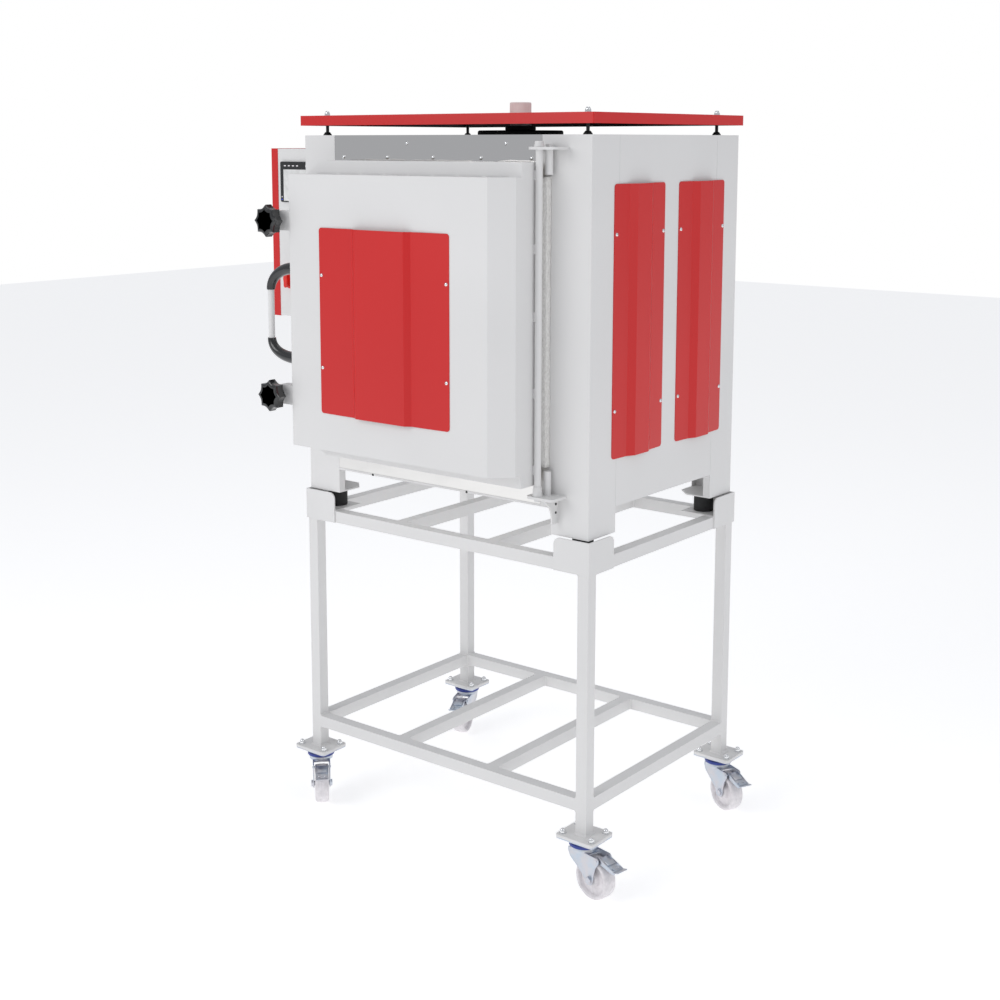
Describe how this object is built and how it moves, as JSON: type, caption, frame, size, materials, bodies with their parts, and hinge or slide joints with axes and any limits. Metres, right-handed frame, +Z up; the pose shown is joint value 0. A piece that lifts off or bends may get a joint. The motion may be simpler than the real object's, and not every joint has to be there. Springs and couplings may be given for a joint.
{
  "type": "ceramic kiln",
  "caption": "Front-loading electric chamber kiln with a clamped side-hinged door, heat shield lid, control box and a tubular stand on swivel castors.",
  "frame": {"origin": "on the floor, under the middle of the overall box", "axes": "+Z up, +X to the right and -Y towards a person facing the door"},
  "size_m": [1.1576, 0.8684, 1.8395],
  "materials": {
    "black_plastic": "moulded phenolic",
    "black_rubber": "moulded rubber",
    "blue_plastic": "blue dust ring",
    "bright_steel": "bright plated fasteners",
    "chimney_ceramic": "unglazed ceramic tube",
    "dark_flange": "dark flange",
    "element_wire": "oxidised resistance wire",
    "fibre": "ceramic fibre",
    "firebrick": "light insulating firebrick",
    "mirror_steel": "polished stainless sheet",
    "pale_coat": "fine-texture powder coat, pale grey-white",
    "pale_plastic": "button cap",
    "red_coat": "semi-gloss red powder coat",
    "red_plastic": "glossy red",
    "white_nylon": "solid nylon",
    "zinc_steel": "zinc plated pressed steel"
  },
  "bodies": {
    "kiln": {"backing_insulation": "fibre", "base_tray": "pale_coat", "cable_gland": "black_plastic", "casing_panels": "pale_coat", "casing_screws": "bright_steel", "castor_bolts": "bright_steel", "castor_dust_rings": "blue_plastic", "castor_mounting_plates": "pale_coat", "castor_top_plates": "zinc_steel", "chimney_flange": "dark_flange", "chimney_tube": "chimney_ceramic", "clamp_bosses": "pale_coat", "control_box": "pale_coat", "control_box_cover": "red_coat", "controller": "black_plastic", "corner_posts": "pale_coat", "corner_sockets": "pale_coat", "firebrick_lining": "firebrick", "front_fascia": "mirror_steel", "heat_shield_lid": "red_coat", "heating_elements": "element_wire", "hinge_bracket_bolts": "pale_coat", "hinge_brackets": "pale_coat", "kiln_feet": "black_rubber", "lid_cap_nuts": "bright_steel", "lid_studs": "bright_steel", "side_vent_covers": "red_coat", "stand_depth_rails": "pale_coat", "stand_legs": "pale_coat", "stand_long_rails": "pale_coat", "thermocouple": "zinc_steel", "top_deck": "pale_coat"},
    "door": {"door_cover": "pale_coat", "door_tray": "pale_coat", "door_brick": "firebrick", "door_seal": "fibre", "door_vent_panel": "red_coat", "door_panel_screws": "bright_steel", "hinge_rod": "pale_coat", "clamp_lugs": "pale_coat", "handle_elbows": "black_plastic", "handle_tube": "pale_coat"},
    "upper_clamp_knob_body": {"upper_clamp_knob": "black_plastic", "upper_clamp_stud": "bright_steel"},
    "lower_clamp_knob_body": {"lower_clamp_knob": "black_plastic", "lower_clamp_stud": "bright_steel"},
    "power_switch": {"power_switch": "red_plastic"},
    "controller_button": {"controller_button": "pale_plastic"},
    "front_right_castor_fork": {"front_right_castor_fork": "zinc_steel"},
    "front_right_castor_wheel": {"front_right_castor_wheel": "white_nylon"},
    "front_right_castor_pedal": {"front_right_castor_pedal": "zinc_steel"},
    "front_left_castor_fork": {"front_left_castor_fork": "zinc_steel"},
    "front_left_castor_wheel": {"front_left_castor_wheel": "white_nylon"},
    "front_left_castor_pedal": {"front_left_castor_pedal": "zinc_steel"},
    "rear_right_castor_fork": {"rear_right_castor_fork": "zinc_steel"},
    "rear_right_castor_wheel": {"rear_right_castor_wheel": "white_nylon"},
    "rear_right_castor_pedal": {"rear_right_castor_pedal": "zinc_steel"},
    "rear_left_castor_fork": {"rear_left_castor_fork": "zinc_steel"},
    "rear_left_castor_wheel": {"rear_left_castor_wheel": "white_nylon"},
    "rear_left_castor_pedal": {"rear_left_castor_pedal": "zinc_steel"}
  },
  "joints": [
    {"name": "door_hinge", "type": "hinge", "parent": "kiln", "child": "door", "pos_m": [0.35217, -0.28085, 1.358], "axis": [0, 0, 1], "range_deg": [0, 110]},
    {"name": "upper_clamp_turn", "type": "hinge", "parent": "door", "child": "upper_clamp_knob_body", "pos_m": [-0.36383, -0.39085, 1.55197], "axis": [0, -1, 0], "range_deg": [0, 1080]},
    {"name": "lower_clamp_turn", "type": "hinge", "parent": "door", "child": "lower_clamp_knob_body", "pos_m": [-0.36383, -0.39085, 1.12119], "axis": [0, -1, 0], "range_deg": [0, 1080]},
    {"name": "power_switch_turn", "type": "hinge", "parent": "kiln", "child": "power_switch", "pos_m": [-0.51283, -0.20085, 1.386], "axis": [0, -1, 0], "range_deg": [-90, 0]},
    {"name": "controller_button_press", "type": "slide", "parent": "kiln", "child": "controller_button", "axis": [0, 1, 0], "range_m": [0, 0.0015], "stiffness_N_per_m": 600},
    {"name": "front_right_castor_swivel", "type": "hinge", "parent": "kiln", "child": "front_right_castor_fork", "pos_m": [0.45617, -0.23085, 0.119], "axis": [0, 0, 1], "continuous": true},
    {"name": "front_right_castor_roll", "type": "hinge", "parent": "front_right_castor_fork", "child": "front_right_castor_wheel", "pos_m": [0.4937, -0.2368, 0.05], "axis": [-0.1564, -0.9877, 0], "continuous": true},
    {"name": "front_right_castor_brake", "type": "hinge", "parent": "front_right_castor_fork", "child": "front_right_castor_pedal", "pos_m": [0.51543, -0.24024, 0.104], "axis": [0.1564, 0.9877, 0], "range_deg": [0, 18]},
    {"name": "front_left_castor_swivel", "type": "hinge", "parent": "kiln", "child": "front_left_castor_fork", "pos_m": [-0.40383, -0.23085, 0.119], "axis": [0, 0, 1], "continuous": true},
    {"name": "front_left_castor_roll", "type": "hinge", "parent": "front_left_castor_fork", "child": "front_left_castor_wheel", "pos_m": [-0.3765, -0.25725, 0.05], "axis": [-0.6947, -0.7193, 0], "continuous": true},
    {"name": "front_left_castor_brake", "type": "hinge", "parent": "front_left_castor_fork", "child": "front_left_castor_pedal", "pos_m": [-0.36067, -0.27253, 0.104], "axis": [0.6947, 0.7193, 0], "range_deg": [0, 18]},
    {"name": "rear_right_castor_swivel", "type": "hinge", "parent": "kiln", "child": "rear_right_castor_fork", "pos_m": [0.45617, 0.38915, 0.119], "axis": [0, 0, 1], "continuous": true},
    {"name": "rear_right_castor_roll", "type": "hinge", "parent": "rear_right_castor_fork", "child": "rear_right_castor_wheel", "pos_m": [0.49115, 0.3743, 0.05], "axis": [-0.3907, -0.9205, 0], "continuous": true},
    {"name": "rear_right_castor_brake", "type": "hinge", "parent": "rear_right_castor_fork", "child": "rear_right_castor_pedal", "pos_m": [0.5114, 0.36571, 0.104], "axis": [0.3907, 0.9205, 0], "range_deg": [0, 18]},
    {"name": "rear_left_castor_swivel", "type": "hinge", "parent": "kiln", "child": "rear_left_castor_fork", "pos_m": [-0.40383, 0.38915, 0.119], "axis": [0, 0, 1], "continuous": true},
    {"name": "rear_left_castor_roll", "type": "hinge", "parent": "rear_left_castor_fork", "child": "rear_left_castor_wheel", "pos_m": [-0.39083, 0.35344, 0.05], "axis": [-0.9397, -0.342, 0], "continuous": true},
    {"name": "rear_left_castor_brake", "type": "hinge", "parent": "rear_left_castor_fork", "child": "rear_left_castor_pedal", "pos_m": [-0.38331, 0.33277, 0.104], "axis": [0.9397, 0.342, 0], "range_deg": [0, 18]}
  ]
}
